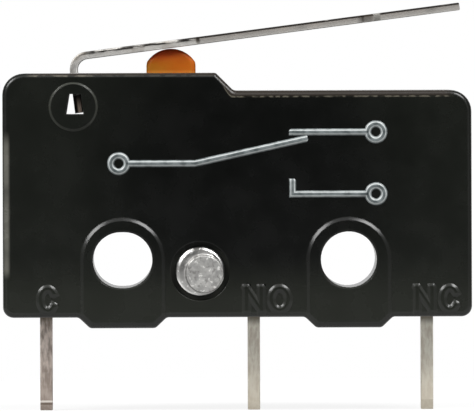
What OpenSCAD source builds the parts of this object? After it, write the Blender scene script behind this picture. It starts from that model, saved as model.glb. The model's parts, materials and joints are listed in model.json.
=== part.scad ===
// Subminiature snap-action switch with a hinge lever and board pins.
// Origin midway between the two mounting holes, at mid-thickness.
// X runs along the body, Y through its thickness (the cover faces -Y), Z up.

/* [Body] */
// Length of the housing
body_length = 19.7; // [19.4:0.1:21]
// Thickness over the mounting pads
body_thickness = 6.4; // [6.2:0.1:7.2]
// Height of the raised top above the mounting holes
top_height = 7.85; // [7.6:0.05:8.6]
// Depth of the flat underside below the mounting holes
bottom_depth = 2.41; // [2.3:0.01:3]
// Drop from the raised top to the shelf under the lever
shelf_drop = 0.75; // [0.6:0.05:0.9]
// Distance from the hinge end to the start of the ramp
raised_length = 8.97; // [8.8:0.01:9.4]
// Radius of the two top corners
top_corner = 0.9; // [0.5:0.05:1.2]
// Radius of the two bottom corners
bottom_corner = 0.45; // [0.2:0.05:0.8]
// Radius of the fillet at the foot of the ramp
ramp_fillet = 0.3; // [0.1:0.05:0.5]
// Radius of the edge round each moulded face
face_edge = 0.22; // [0.1:0.02:0.3]
// Width and depth of the groove along the parting line, in each half
seam_groove = 0.04; // [0.02:0.01:0.08]
// Thickness of the front and back walls
side_wall = 0.9; // [0.7:0.05:1.1]
// Thickness of the two end walls
end_wall = 0.9; // [0.7:0.05:1]
// Thickness of the top wall
roof = 0.85; // [0.7:0.05:0.9]
// Wall left above the mounting holes
floor_wall = 0.775; // [0.6:0.025:0.9]

/* [Mounting] */
// Distance between the two mounting holes
hole_pitch = 9.5; // [9.2:0.1:10]
// Distance from the hinge end of the body to the first mounting hole
hole_inset = 5.03; // [4.9:0.01:5.3]
// Diameter of the mounting holes
hole_diameter = 2.35; // [2:0.05:2.6]
// Length of the elongated hole
slot_length = 2.5; // [2.45:0.05:2.8]
// Bevel at the mouths of the mounting holes
hole_mouth = 0.06; // [0.03:0.01:0.12]
// Width of the raised pad round each hole
pad_width = 3.56; // [3.2:0.02:3.8]
// Height of the pads above the moulded faces
pad_rise = 0.1; // [0.05:0.01:0.15]
// Width of the bevel round the pads
pad_bevel = 0.13; // [0.03:0.01:0.14]
// Height of that bevel
pad_bevel_rise = 0.08; // [0.03:0.01:0.09]
// Margin from the outline of each foot to its pad
pad_margin = 0.1; // [0.08:0.01:0.12]
// Drop of the feet below the flat underside
foot_drop = 0.45; // [0.2:0.05:0.6]
// Width of each foot at its lower end
foot_width = 2.75; // [2.4:0.05:3]
// Width that each foot gains up to the underside
foot_flare = 0.95; // [0.6:0.05:1.2]
// Radius of the corners of the feet
foot_corner = 0.25; // [0.1:0.05:0.3]

/* [Lever] */
// Thickness of the lever strip
lever_thickness = 0.32; // [0.25:0.01:0.34]
// Width of the lever beside the hinge
lever_width = 3.6; // [3:0.1:3.8]
// Width of the lever past its step
arm_width = 3.3; // [2.6:0.1:3.5]
// Distance from the hinge to the step in width
step_reach = 5.3; // [4.6:0.05:7]
// Distance from the hinge to the tip
lever_reach = 16.45; // [15:0.05:17]
// Height of the underside of the arm above the hinge
arm_height = 1.58; // [1.55:0.01:1.8]
// Slope of the lever at rest, in degrees
rest_angle = 7.3; // [6.5:0.1:8.5]
// Swing of the lever when pressed fully, in degrees
swing_angle = 11; // [8:0.5:11.5]
// Inner radius of the bend
bend_radius = 0.45; // [0.3:0.05:0.6]
// Depth of the hinge ears below the hinge axis
ear_depth = 0.62; // [0.5:0.02:0.8]
// Recess of the ear ends below the pads
ear_recess = 0.2; // [0.1:0.05:0.4]
// Distance from the hinge end of the body to the hinge axis
hinge_inset = 3.14; // [3:0.01:3.4]
// Depth of the hinge axis below the raised top
hinge_depth = 1.05; // [1.02:0.01:1.2]
// Radius of the raised disc round the hinge window
disc_radius = 1.02; // [0.95:0.01:1.1]
// Height of that disc above the face
disc_rise = 0.06; // [0.03:0.01:0.09]
// Distance from the hinge axis down to the disc centre
disc_drop = 0.35; // [0.3:0.01:0.45]
// Distance from the hinge axis to the disc centre, towards the hinge end
disc_shift = 0.16; // [0:0.01:0.2]
// Free room beside the swinging ear
window_room = 0.29; // [0.1:0.01:0.35]
// Free room under the ear
window_sill = 0.06; // [0.04:0.01:0.15]
// Slant of the window side over its height
window_slant = 0.14; // [0:0.01:0.2]
// Length of the nick in the front edge of the arm
nick_length = 0.8; // [0.4:0.1:1.2]
// Depth of that nick
nick_depth = 0.12; // [0.05:0.01:0.2]
// Distance from the hinge to the nick
nick_reach = 12.3; // [10:0.1:14]

/* [Plunger] */
// Distance from the hinge axis to the plunger
plunger_offset = 3.95; // [3.6:0.01:4.2]
// Width of the plunger along the body
plunger_width = 2.07; // [1.8:0.01:2.2]
// Depth of the plunger through the body
plunger_depth = 2.9; // [2.4:0.1:3.1]
// Radius of the domed top
dome_radius = 1.2; // [1.12:0.01:1.3]
// Radius of the shoulders of the dome
dome_shoulder = 0.75; // [0.5:0.05:0.8]
// Radius of the front and back edges of the dome
dome_edge = 0.3; // [0.1:0.05:0.4]
// Overhang of the retaining flange
flange_overhang = 0.26; // [0.15:0.01:0.3]
// Thickness of the retaining flange
flange_thickness = 0.5; // [0.3:0.05:0.6]
// Thickness of each foot of the plunger
plunger_foot = 0.6; // [0.4:0.05:0.8]

/* [Terminals] */
// Thickness of the terminal strip
strip_thickness = 0.52; // [0.4:0.02:0.6]
// Width of the pins
pin_width = 1.2; // [0.9:0.05:1.4]
// Length of the pins below the flat underside
pin_length = 3.95; // [3:0.05:5]
// Length of the coined pin tips
tip_length = 0.42; // [0.2:0.02:0.6]
// Width that the tips lose
tip_taper = 0.44; // [0.1:0.02:0.6]
// Distance from the hinge end of the body to the common pin
common_inset = 1.79; // [1.7:0.01:2.1]
// Distance from the middle between the holes to the normally open pin
no_offset = 0.76; // [0.6:0.02:1]
// Distance from the far end of the body to the normally closed pin
nc_inset = 1.86; // [1.6:0.01:2]
// Width of the strips inside the housing
strip_width = 1.8; // [1.4:0.1:2.4]
// Outer radius of the bends in the strips
strip_bend = 0.5; // [0.2:0.05:0.6]
// Room between the normally closed strip and the ceiling
strip_room = 0.39; // [0.3:0.01:0.45]

/* [Contacts and spring] */
// Open distance between the contacts
contact_gap = 0.52; // [0.4:0.02:0.6]
// Radius of the contact heads
contact_radius = 0.55; // [0.4:0.05:0.65]
// Height of each contact head
contact_height = 0.25; // [0.2:0.01:0.28]
// Radius of the contact shanks
shank_radius = 0.25; // [0.15:0.01:0.3]
// Distance from the normally closed pin to the contacts
contact_inset = 1.5; // [1.2:0.05:1.8]
// Thickness of the spring blade
blade_thickness = 0.12; // [0.08:0.01:0.14]
// Width of the spring blade
blade_width = 3; // [2.6:0.1:3.2]
// Width of each side rail of the blade
rail_width = 0.75; // [0.5:0.05:0.8]
// Width of the central tongue
tongue_width = 1.1; // [0.8:0.05:1.15]
// Length of the tongue
tongue_length = 5.5; // [5:0.1:5.8]
// Distance from the plunger to the root of the tongue
tongue_lead = 4; // [3.6:0.1:4.4]
// Share of the bow that the pressed blade keeps
bow_kept = 0.25; // [0.2:0.05:0.3]
// Width of the tab that locates the blade
tab_width = 1; // [0.6:0.1:1.2]
// Height of that tab above the blade seat
tab_height = 0.5; // [0.3:0.05:0.7]
// Length of the blade past the contact head
blade_margin = 0.15; // [0.1:0.01:0.25]
// Length of the blade that stays flat before the contact head
blade_level = 0.3; // [0.1:0.05:0.5]
// Length of the blade behind its seat
blade_tail = 0.45; // [0.3:0.05:0.6]
// Length of full-width blade past the root of the tongue
blade_shoulder = 1; // [0.5:0.1:1.5]
// Side margin of the blade beside the contact head
blade_cheek = 0.25; // [0.1:0.01:0.3]
// Gap from the seat to the window in the blade
blade_bridge = 0.55; // [0.3:0.05:0.8]
// Drop of the notch for the tongue below the blade seat
notch_drop = 0.2; // [0.1:0.05:0.3]
// Height of the notched post above the notch
post_rise = 0.25; // [0.2:0.01:0.3]
// Depth of the notch
notch_depth = 0.16; // [0.12:0.01:0.18]

/* [Rivet] */
// Distance from the middle between the holes to the rivet
rivet_x = -1.49; // [-1.8:0.01:-1.2]
// Height of the rivet relative to the mounting holes
rivet_z = -0.47; // [-0.7:0.01:-0.3]
// Radius of the rivet shank
rivet_radius = 0.75; // [0.6:0.01:0.8]
// Radius of the peened front end
peen_radius = 1.03; // [0.95:0.01:1.1]
// Radius of the flat on the peened end
peen_flat = 0.77; // [0.6:0.01:0.85]
// Shift of that flat along the body
peen_shift = 0.18; // [0:0.01:0.2]
// Radius of the factory head at the back
head_radius = 1.2; // [1.1:0.01:1.3]
// Depth of the recesses for both ends
recess_depth = 0.42; // [0.3:0.02:0.5]
// Room round each end in its recess
recess_room = 0.22; // [0.1:0.01:0.3]

/* [Fits] */
// Clearance round pieces that slide
slide_fit = 0.04; // [0.03:0.01:0.06]
// Clearance between pieces that touch
touch_fit = 0.02; // [0.01:0.005:0.03]

/* [Hidden] */
$fn = 64;

// Facets in each rounded corner, edge and curve
arc_steps = 8;
edge_steps = 4;
curve_steps = 16;
// Radius of a corner that is left sharp, and of a broken edge in metal
sharp = 0.01;
broken_edge = 0.05;
// Reach of a cut past the face that it opens
cut_over = 1;

hole_x = hole_pitch / 2;
left_x = -hole_x - hole_inset;
right_x = left_x + body_length;
pad_y = body_thickness / 2;
face_y = pad_y - pad_rise;
split_y = -pin_width / 2;
shelf_z = top_height - shelf_drop;
foot_z = -bottom_depth - foot_drop;
ramp_x = left_x + raised_length;

cavity_left = left_x + end_wall;
cavity_right = right_x - end_wall;
cavity_y = face_y - side_wall;
floor_z = hole_diameter / 2 + floor_wall;
ceiling_z = top_height - roof;
low_ceiling_z = shelf_z - roof;
inner_ramp_x = ramp_x - roof * tan(22.5);

hinge_x = left_x + hinge_inset;
hinge_z = top_height - hinge_depth;
ear_radius = lever_thickness / 2;
ear_y = pad_y - ear_recess;
pressed_angle = rest_angle - swing_angle;
leg_rise = top_height - hinge_z;

common_x = left_x + common_inset;
no_x = no_offset;
nc_x = right_x - nc_inset;
tip_z = -bottom_depth - pin_length;
strip_half = strip_thickness / 2;

contact_x = nc_x - contact_inset;
nc_strip_z = low_ceiling_z - strip_room - strip_thickness;
nc_face_z = nc_strip_z - contact_height;
blade_z = nc_face_z - touch_fit - contact_height - blade_thickness;
no_face_z = blade_z - contact_height - contact_gap;
ledge_z = no_face_z - contact_height - strip_thickness;

plunger_x = hinge_x + plunger_offset;
dome_lift = arm_height - dome_radius - touch_fit;
dome_z = hinge_z + arm_line(dome_lift, rest_angle);
plunger_travel = arm_line(dome_lift, rest_angle) - arm_line(dome_lift, pressed_angle);
flange_top_z = ceiling_z - touch_fit;
flange_z = flange_top_z - flange_thickness;

contact_travel = contact_gap - touch_fit;
contact_bow = contact_travel / (1 - bow_kept);
plunger_bow = plunger_travel / (1 - bow_kept);
anchor_z = blade_z - contact_bow;
plunger_foot_z = anchor_z + plunger_bow + blade_thickness + touch_fit;

blade_seat_x = common_x + strip_half;
blade_start = common_x - strip_half - blade_tail;
blade_flat = contact_x - contact_radius - blade_level;
blade_end = contact_x + contact_radius + blade_margin;
tongue_root = plunger_x + tongue_lead;
tongue_end = tongue_root - tongue_length;
notch_z = anchor_z - notch_drop;
post_top_z = notch_z + blade_thickness / 2 + post_rise;

// Height over the hinge at which a line parallel to the arm crosses the plunger axis
function arm_line(lift, angle) = (lift + plunger_offset * sin(angle)) / cos(angle);

function unit(v) = v / norm(v);
function left_of(v) = [-v[1], v[0]];
function cross_of(a, b) = a[0] * b[1] - a[1] * b[0];
function turned(v, a) = [v[0] * cos(a) - v[1] * sin(a), v[0] * sin(a) + v[1] * cos(a)];
function corner_at(list, i) = let (c = list[(i + len(list)) % len(list)]) [c[0], c[1]];
function edge_before(list, i) = unit(corner_at(list, i) - corner_at(list, i - 1));
function edge_after(list, i) = unit(corner_at(list, i + 1) - corner_at(list, i));

// Corners [x, z, radius] moved inwards, with each arc kept on its centre
function inset(list, d) = [
    for (i = [0 : len(list) - 1])
        let (
            a = edge_before(list, i),
            b = edge_after(list, i),
            side = left_of(a) + left_of(b),
            moved = corner_at(list, i) + d * side / (1 + left_of(a) * left_of(b))
        )
        [moved[0], moved[1], max(list[i][2] - sign(cross_of(a, b)) * d, broken_edge)]
];

// Outline of the corners [x, z, radius], each drawn as an arc
function rounded(list) = [
    for (i = [0 : len(list) - 1])
        let (
            a = edge_before(list, i),
            b = edge_after(list, i),
            bend = atan2(cross_of(a, b), a * b),
            r = list[i][2],
            start = corner_at(list, i) - a * r * tan(abs(bend) / 2),
            centre = start + sign(bend) * r * left_of(a)
        )
        for (k = [0 : arc_steps])
            centre + turned(start - centre, bend * k / arc_steps)
];

function foot_corners(x) = [
    [x - (foot_width + foot_flare) / 2, -bottom_depth, foot_corner],
    [x - foot_width / 2, foot_z, foot_corner],
    [x + foot_width / 2, foot_z, foot_corner],
    [x + (foot_width + foot_flare) / 2, -bottom_depth, foot_corner]
];

body_corners = [
    [left_x, -bottom_depth, bottom_corner],
    each foot_corners(-hole_x),
    each foot_corners(hole_x),
    [right_x, -bottom_depth, bottom_corner],
    [right_x, shelf_z, top_corner],
    [ramp_x + shelf_drop, shelf_z, ramp_fillet],
    [ramp_x, top_height, ramp_fillet / 2],
    [left_x, top_height, top_corner]
];

// The pads follow the feet down, at their margin from the outline
pad_side_z = foot_z + pad_margin + (pad_width - foot_width + pad_margin) * foot_drop / foot_flare;
pad_toe = max(foot_corner - pad_margin, broken_edge);

function pad_corners(x) = [
    [x - (foot_width - pad_margin) / 2, foot_z + pad_margin, pad_toe],
    [x + (foot_width - pad_margin) / 2, foot_z + pad_margin, pad_toe],
    [x + pad_width / 2, pad_side_z, foot_corner],
    [x + pad_width / 2, pad_width / 2, pad_width / 2 - sharp],
    [x - pad_width / 2, pad_width / 2, pad_width / 2 - sharp],
    [x - pad_width / 2, pad_side_z, foot_corner]
];

cavity_corners = [
    [cavity_left, floor_z],
    [no_x + strip_half + touch_fit, floor_z],
    [no_x + strip_half + touch_fit, ledge_z],
    [cavity_right, ledge_z],
    [cavity_right, low_ceiling_z],
    [inner_ramp_x + shelf_drop, low_ceiling_z],
    [inner_ramp_x, ceiling_z],
    [cavity_left, ceiling_z]
];

// Depth and inset of each ring round an edge, from the wall to the face
face_rings = [
    for (k = [0 : edge_steps])
        let (a = 90 * k / edge_steps)
        [face_y - face_edge + face_edge * sin(a), face_edge * (1 - cos(a))]
];
pad_rings = [[pad_y - pad_bevel_rise, 0], [pad_y, pad_bevel]];

// Height of the underside of the bowed blade: it rises to the plunger and eases down to the contact
function blade_line(x) =
    x < blade_seat_x ? anchor_z
    : x < plunger_x ? anchor_z
        + plunger_bow * sin(90 * (x - blade_seat_x) / (plunger_x - blade_seat_x))
    : x < blade_flat ? blade_z + (plunger_bow - contact_bow)
        * (1 + cos(180 * (x - plunger_x) / (blade_flat - plunger_x))) / 2
    : blade_z;

// Underside of the tongue: it leaves the blade at its root and bends down to the notch
function tongue_line(x) =
    let (run = (tongue_root - x) / tongue_length)
    x > tongue_root ? blade_line(x)
    : blade_line(tongue_root) + (notch_z - blade_line(tongue_root)) * run * run;

function steps_between(a, b) = [for (k = [0 : curve_steps]) a + (b - a) * k / curve_steps];

shoulder_stops = steps_between(tongue_root, blade_flat);
blade_stops = [
    blade_start,
    each steps_between(blade_seat_x, plunger_x),
    for (x = steps_between(plunger_x, tongue_root)) if (x > plunger_x) x,
    for (x = shoulder_stops) if (x > tongue_root) x,
    blade_end
];
tongue_stops = [each steps_between(tongue_end, tongue_root), shoulder_stops[1]];

// Closed band round an outline, through rings given as [y, inset]
module band(corners, rings) {
    count = len(corners) * (arc_steps + 1);
    polyhedron(
        points = [
            for (ring = rings)
                for (p = rounded(inset(corners, ring[1]))) [p[0], ring[0], p[1]]
        ],
        faces = [
            for (k = [0 : len(rings) - 1])
                for (i = [0 : count - 1])
                    let (
                        j = (i + 1) % count,
                        here = k * count,
                        next = (k + 1) % len(rings) * count
                    )
                    each [
                        [here + i, next + j, next + i],
                        [here + i, here + j, next + j]
                    ]
        ]
    );
}

// Plate across Y whose upper edge follows the rings, from its wall to its face
module edged_plate(corners, base, rings) {
    wall_y = rings[0][0];
    face = rings[len(rings) - 1];
    along_y(base, wall_y)
        polygon(rounded(corners));
    along_y(base, face[0])
        polygon(rounded(inset(corners, face[1])));
    band(corners, [each rings, [wall_y - face[1] / 2, face[1] * 1.5]]);
}

// Extrudes an outline drawn in X and Z from one depth to another
module along_y(y0, y1) {
    translate([0, y1, 0])
        rotate([90, 0, 0])
            linear_extrude(y1 - y0)
                children();
}

// Extrudes an outline drawn in Y and Z from one place to another along the body
module along_x(x0, x1) {
    translate([x0, 0, 0])
        rotate([90, 0, 90])
            linear_extrude(x1 - x0)
                children();
}

module block(x0, x1, y0, y1, z0, z1) {
    translate([x0, y0, z0])
        cube([x1 - x0, y1 - y0, z1 - z0]);
}

// Round bar along Y
module bar_y(x, z, r, y0, y1, r_end) {
    translate([x, y1, z])
        rotate([90, 0, 0])
            cylinder(h = y1 - y0, r1 = r, r2 = is_undef(r_end) ? r : r_end);
}

// Section of thin strip that follows a curve, drawn in X and Z
module strip_section(lower) {
    polygon([
        each lower,
        for (k = [len(lower) - 1 : -1 : 0]) lower[k] + [0, blade_thickness]
    ]);
}

// Half of the housing on its +Y side, before anything is cut: shell, pads and hinge disc
module half_shell(split) {
    edged_plate(body_corners, split + seam_groove, face_rings);
    along_y(split, split + 2 * seam_groove)
        polygon(rounded(inset(body_corners, seam_groove)));
    for (x = [-hole_x, hole_x])
        edged_plate(pad_corners(x), face_y - face_edge, pad_rings);
    bar_y(hinge_x - disc_shift, hinge_z - disc_drop, disc_radius - disc_rise,
        face_y - touch_fit, face_y + disc_rise, disc_radius);
}

module hole_outline(stretch, grow) {
    for (s = [-1, 1])
        translate([s * stretch / 2, 0])
            circle(r = hole_diameter / 2 + grow);
    translate([-stretch / 2, -hole_diameter / 2 - grow])
        square([stretch, hole_diameter + 2 * grow]);
}

module mounting_holes() {
    reach = pad_y + cut_over;
    bar_y(hole_x, 0, hole_diameter / 2, -reach, reach);
    translate([-hole_x, 0, 0])
        along_y(-reach, reach)
            hole_outline(slot_length - hole_diameter, 0);
    for (side = [-1, 1])
        for (x = [-hole_x, hole_x])
            mouth_bevel(x, side);
}

module mouth_bevel(x, side) {
    inner = hole_diameter / 2;
    outer = inner + hole_mouth;
    stretch = x < 0 ? slot_length - hole_diameter : 0;
    y = side * (pad_y - hole_mouth);
    for (s = stretch > 0 ? [-1, 1] : [0])
        bar_y(x + s * stretch / 2, 0, side > 0 ? outer + hole_mouth : inner,
            min(y, y + side * 2 * hole_mouth), max(y, y + side * 2 * hole_mouth),
            side > 0 ? inner : outer + hole_mouth);
}

// Window for an ear of the lever: one side leans as the ear rests, the other leaves room to swing
module window_outline() {
    lean = tan(rest_angle);
    right = ear_radius / cos(rest_angle) + touch_fit;
    left = ear_radius - ear_depth * sin(pressed_angle) + window_room;
    sill = ear_depth + window_sill;
    top = ear_radius + touch_fit;
    polygon([
        [hinge_x - left, hinge_z - sill],
        [hinge_x + right + sill * lean, hinge_z - sill],
        [hinge_x + right - top * lean, hinge_z + top],
        [hinge_x - left + window_slant, hinge_z + top]
    ]);
}

// Space shared by both halves: the cavity, the holes, and the ways in for the lever and plunger
module housing_cuts() {
    slot_left = ear_radius / cos(rest_angle) + leg_rise * tan(rest_angle) + slide_fit;
    slot_right = ear_radius / cos(pressed_angle) - leg_rise * tan(pressed_angle) + slide_fit;
    slot_half = lever_width / 2 + slide_fit;
    aperture_x = plunger_width / 2 + slide_fit;
    aperture_y = plunger_depth / 2 + slide_fit;
    along_y(-cavity_y, cavity_y)
        polygon(cavity_corners);
    block(hinge_x - slot_left, hinge_x + slot_right, -slot_half, slot_half,
        ceiling_z - slide_fit, top_height + cut_over);
    block(plunger_x - aperture_x, plunger_x + aperture_x, -aperture_y, aperture_y,
        ceiling_z - slide_fit, top_height + cut_over);
    along_y(-pad_y - cut_over, pad_y + cut_over)
        window_outline();
    mounting_holes();
    bar_y(rivet_x, rivet_z, rivet_radius + touch_fit, -pad_y, pad_y);
    bar_y(rivet_x, rivet_z, peen_radius + recess_room, -pad_y, recess_depth - face_y);
    bar_y(rivet_x, rivet_z, head_radius + recess_room, face_y - recess_depth, pad_y);
}

module pin_channel(x, top) {
    block(x - strip_half - touch_fit, x + strip_half + touch_fit, split_y - cut_over,
        pin_width / 2 + touch_fit, foot_z - cut_over, top + touch_fit);
}

module case() {
    color("#1b1d1b")
        difference() {
            half_shell(split_y);
            housing_cuts();
            pin_channel(common_x, floor_z);
            pin_channel(no_x, ledge_z);
            pin_channel(nc_x, ledge_z);
        }
}

module cover() {
    color("#20221f")
        difference() {
            mirror([0, 1, 0])
                half_shell(-split_y);
            housing_cuts();
        }
}

// The front end is peened over slightly off its centre
module rivet() {
    seat_y = recess_depth - face_y;
    rim = recess_depth / 3;
    color("#8d8f8c") {
        bar_y(rivet_x, rivet_z, rivet_radius, seat_y - rim, face_y - recess_depth + rim);
        bar_y(rivet_x, rivet_z, peen_radius, seat_y - rim, seat_y);
        hull() {
            bar_y(rivet_x, rivet_z, peen_radius, seat_y - rim - touch_fit, seat_y - rim);
            bar_y(rivet_x + peen_shift, rivet_z - peen_shift * 2 / 3, peen_flat, -face_y,
                touch_fit - face_y);
        }
        bar_y(rivet_x, rivet_z, head_radius, face_y - recess_depth, face_y - rim);
        bar_y(rivet_x, rivet_z, head_radius - rim, face_y - rim, face_y, head_radius);
    }
}

// Pin seen along the body, with its coined tip
module pin(x, top) {
    half = pin_width / 2;
    tip_half = half - tip_taper / 2;
    along_x(x - strip_half, x + strip_half)
        polygon([
            [-half, top], [-half, tip_z + tip_length], [-tip_half, tip_z],
            [tip_half, tip_z], [half, tip_z + tip_length], [half, top]
        ]);
}

// Pin, plate with the blade seat and locating tab, and the arm with the notched post
module common_terminal() {
    window_half = pin_width / 2 + touch_fit;
    post_right = tongue_end - blade_thickness / 2 - touch_fit + notch_depth;
    post_left = post_right - strip_thickness;
    notch_mid = notch_z + blade_thickness / 2;
    color("#b3a98f") {
        pin(common_x, floor_z);
        difference() {
            along_x(common_x - strip_half, common_x + strip_half)
                polygon([
                    [-blade_width / 2, floor_z], [blade_width / 2, floor_z],
                    [blade_width / 2, anchor_z], [tab_width / 2, anchor_z],
                    [tab_width / 2, anchor_z + tab_height],
                    [-tab_width / 2, anchor_z + tab_height],
                    [-tab_width / 2, anchor_z], [-blade_width / 2, anchor_z]
                ]);
            block(common_x - strip_thickness, common_x + strip_thickness, -window_half,
                window_half, floor_z + strip_thickness, anchor_z - strip_thickness);
        }
        along_y(-pin_width / 2, pin_width / 2)
            difference() {
                polygon(rounded([
                    [common_x, floor_z, sharp],
                    [post_right, floor_z, strip_bend],
                    [post_right, post_top_z, sharp],
                    [post_left, post_top_z, broken_edge],
                    [post_left, floor_z + strip_thickness, broken_edge],
                    [common_x, floor_z + strip_thickness, sharp]
                ]));
                polygon([
                    [post_right - notch_depth, notch_mid],
                    [post_right + notch_depth, notch_mid - 2 * notch_depth],
                    [post_right + notch_depth, notch_mid + 2 * notch_depth]
                ]);
            }
    }
}

module normally_open_terminal() {
    color("#b8b09c")
        difference() {
            union() {
                pin(no_x, ledge_z);
                along_y(-strip_width / 2, strip_width / 2)
                    polygon(rounded([
                        [no_x - strip_half, ledge_z, sharp],
                        [contact_x + contact_radius, ledge_z, broken_edge],
                        [contact_x + contact_radius, ledge_z + strip_thickness, broken_edge],
                        [no_x - strip_half, ledge_z + strip_thickness,
                            min(strip_bend, strip_thickness) - 2 * sharp]
                    ]));
            }
            contact_hole(ledge_z);
        }
}

module normally_closed_terminal() {
    top = nc_strip_z + strip_thickness;
    color("#b8b09c")
        difference() {
            union() {
                pin(nc_x, ledge_z);
                along_y(-strip_width / 2, strip_width / 2)
                    polygon(rounded([
                        [nc_x - strip_half, ledge_z, sharp],
                        [nc_x + strip_half, ledge_z, sharp],
                        [nc_x + strip_half, top, strip_bend],
                        [contact_x - contact_radius, top, broken_edge],
                        [contact_x - contact_radius, nc_strip_z, broken_edge],
                        [nc_x - strip_half, nc_strip_z, broken_edge]
                    ]));
            }
            contact_hole(nc_strip_z);
        }
}

module contact_hole(z) {
    translate([contact_x, 0, z - cut_over])
        cylinder(h = strip_thickness + 2 * cut_over, r = shank_radius + touch_fit);
}

module contact_head(z, grow) {
    translate([contact_x, 0, z])
        cylinder(h = contact_height, r1 = contact_radius - max(-grow, 0),
            r2 = contact_radius - max(grow, 0));
}

module contact_shank(z0, z1) {
    translate([contact_x, 0, z0])
        cylinder(h = z1 - z0, r = shank_radius);
}

module normally_open_contact() {
    color("#d9d6cf") {
        contact_head(no_face_z - contact_height, contact_height / 3);
        contact_shank(ledge_z, no_face_z - contact_height);
    }
}

module normally_closed_contact() {
    color("#d9d6cf") {
        contact_head(nc_face_z, -contact_height / 3);
        contact_shank(nc_face_z + contact_height, nc_strip_z + strip_thickness);
    }
}

// Double-headed rivet in the end of the blade
module moving_contact() {
    gap = touch_fit / 2;
    color("#d9d6cf") {
        contact_head(blade_z - contact_height - gap, -contact_height / 3);
        contact_head(blade_z + blade_thickness + gap, contact_height / 3);
        contact_shank(blade_z - gap, blade_z + blade_thickness + gap);
    }
}

module blade_plan() {
    half = blade_width / 2;
    end_half = contact_radius + blade_cheek;
    polygon([
        [blade_start, -half],
        [tongue_root + blade_shoulder, -half],
        [blade_flat, -end_half],
        [blade_end, -end_half],
        [blade_end, end_half],
        [blade_flat, end_half],
        [tongue_root + blade_shoulder, half],
        [blade_start, half]
    ]);
}

// Blade with a window, and the tongue bent down from its root
module snap_spring() {
    window_half = blade_width / 2 - rail_width;
    window_start = blade_seat_x + blade_bridge;
    color("#b87333") {
        difference() {
            intersection() {
                along_y(-blade_width / 2, blade_width / 2)
                    strip_section([for (x = blade_stops) [x, blade_line(x)]]);
                translate([0, 0, floor_z])
                    linear_extrude(top_height)
                        blade_plan();
            }
            block(window_start, tongue_root, -window_half, window_half, floor_z, top_height);
            block(common_x - strip_half - touch_fit, common_x + strip_half + touch_fit,
                -tab_width / 2 - touch_fit, tab_width / 2 + touch_fit, floor_z, top_height);
            translate([contact_x, 0, floor_z])
                cylinder(h = top_height, r = shank_radius + touch_fit);
        }
        along_y(-tongue_width / 2, tongue_width / 2)
            strip_section([for (x = tongue_stops) [x, tongue_line(x)]]);
    }
}

// Domed block with a retaining flange and two feet on the rails of the blade
module plunger() {
    half = plunger_depth / 2;
    wide = plunger_width / 2;
    dome_top = dome_z + dome_radius;
    foot_half = plunger_foot / 2;
    rail_y = (blade_width - rail_width) / 2;
    color("#c8641e") {
        intersection() {
            along_y(-half, half)
                intersection() {
                    translate([plunger_x, dome_z])
                        circle(r = dome_radius);
                    polygon(rounded([
                        [plunger_x - wide, dome_z, sharp], [plunger_x + wide, dome_z, sharp],
                        [plunger_x + wide, dome_top, dome_shoulder],
                        [plunger_x - wide, dome_top, dome_shoulder]
                    ]));
                }
            along_x(plunger_x - plunger_width, plunger_x + plunger_width)
                polygon(rounded([
                    [-half, dome_z - cut_over, sharp], [half, dome_z - cut_over, sharp],
                    [half, dome_top, dome_edge], [-half, dome_top, dome_edge]
                ]));
        }
        block(plunger_x - wide, plunger_x + wide, -half, half, flange_z, dome_z);
        block(plunger_x - wide - flange_overhang, plunger_x + wide + flange_overhang,
            -half - flange_overhang, half + flange_overhang, flange_z, flange_top_z);
        for (side = [-1, 1])
            along_y(side * rail_y - rail_width / 3, side * rail_y + rail_width / 3)
                plunger_foot_outline(foot_half);
    }
}

module plunger_foot_outline(r) {
    translate([plunger_x, plunger_foot_z + r])
        circle(r = r);
    translate([plunger_x - r, plunger_foot_z + r])
        square([2 * r, flange_z - plunger_foot_z]);
}

// Strip bent to an L, with ears that hinge in the windows of the housing
module lever() {
    outer = bend_radius + lever_thickness;
    half = lever_width / 2;
    nick_y = -arm_width / 2 - cut_over;
    color("#a9a8a2")
        translate([hinge_x, 0, hinge_z])
            rotate([0, -rest_angle, 0]) {
                difference() {
                    along_y(-half, half)
                        polygon(rounded([
                            [-ear_radius, -ear_depth, sharp],
                            [ear_radius, -ear_depth, sharp],
                            [ear_radius, arm_height, bend_radius],
                            [lever_reach, arm_height, broken_edge],
                            [lever_reach, arm_height + lever_thickness, broken_edge],
                            [-ear_radius, arm_height + lever_thickness, outer]
                        ]));
                    for (side = [-1, 1])
                        translate([step_reach, side * half - arm_step(), 0])
                            cube([lever_reach, 2 * arm_step(), 2 * arm_height]);
                    translate([nick_reach, nick_y, 0])
                        cube([nick_length, cut_over + nick_depth, 2 * arm_height]);
                }
                along_y(-ear_y, ear_y)
                    ear_outline();
            }
}

function arm_step() = (lever_width - arm_width) / 2;

module ear_outline() {
    circle(r = ear_radius);
    translate([-ear_radius, -ear_depth])
        square([lever_thickness, ear_depth]);
}

case();
cover();
rivet();
common_terminal();
normally_open_terminal();
normally_closed_terminal();
normally_open_contact();
normally_closed_contact();
snap_spring();
moving_contact();
plunger();
lever();
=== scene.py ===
# %% [markdown]
# # A micro switch with a hinge lever
#
# The object is a subminiature snap-action switch: a black moulded housing in two halves, a rivet that
# holds them, a bent steel lever over an orange plunger, three flat pins and, inside, a blade spring with
# its contacts. The packed CAD model is the frame: it says where every piece is, and how big. Blender adds
# the finish on top, so nothing here moves or resizes a piece.

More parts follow.
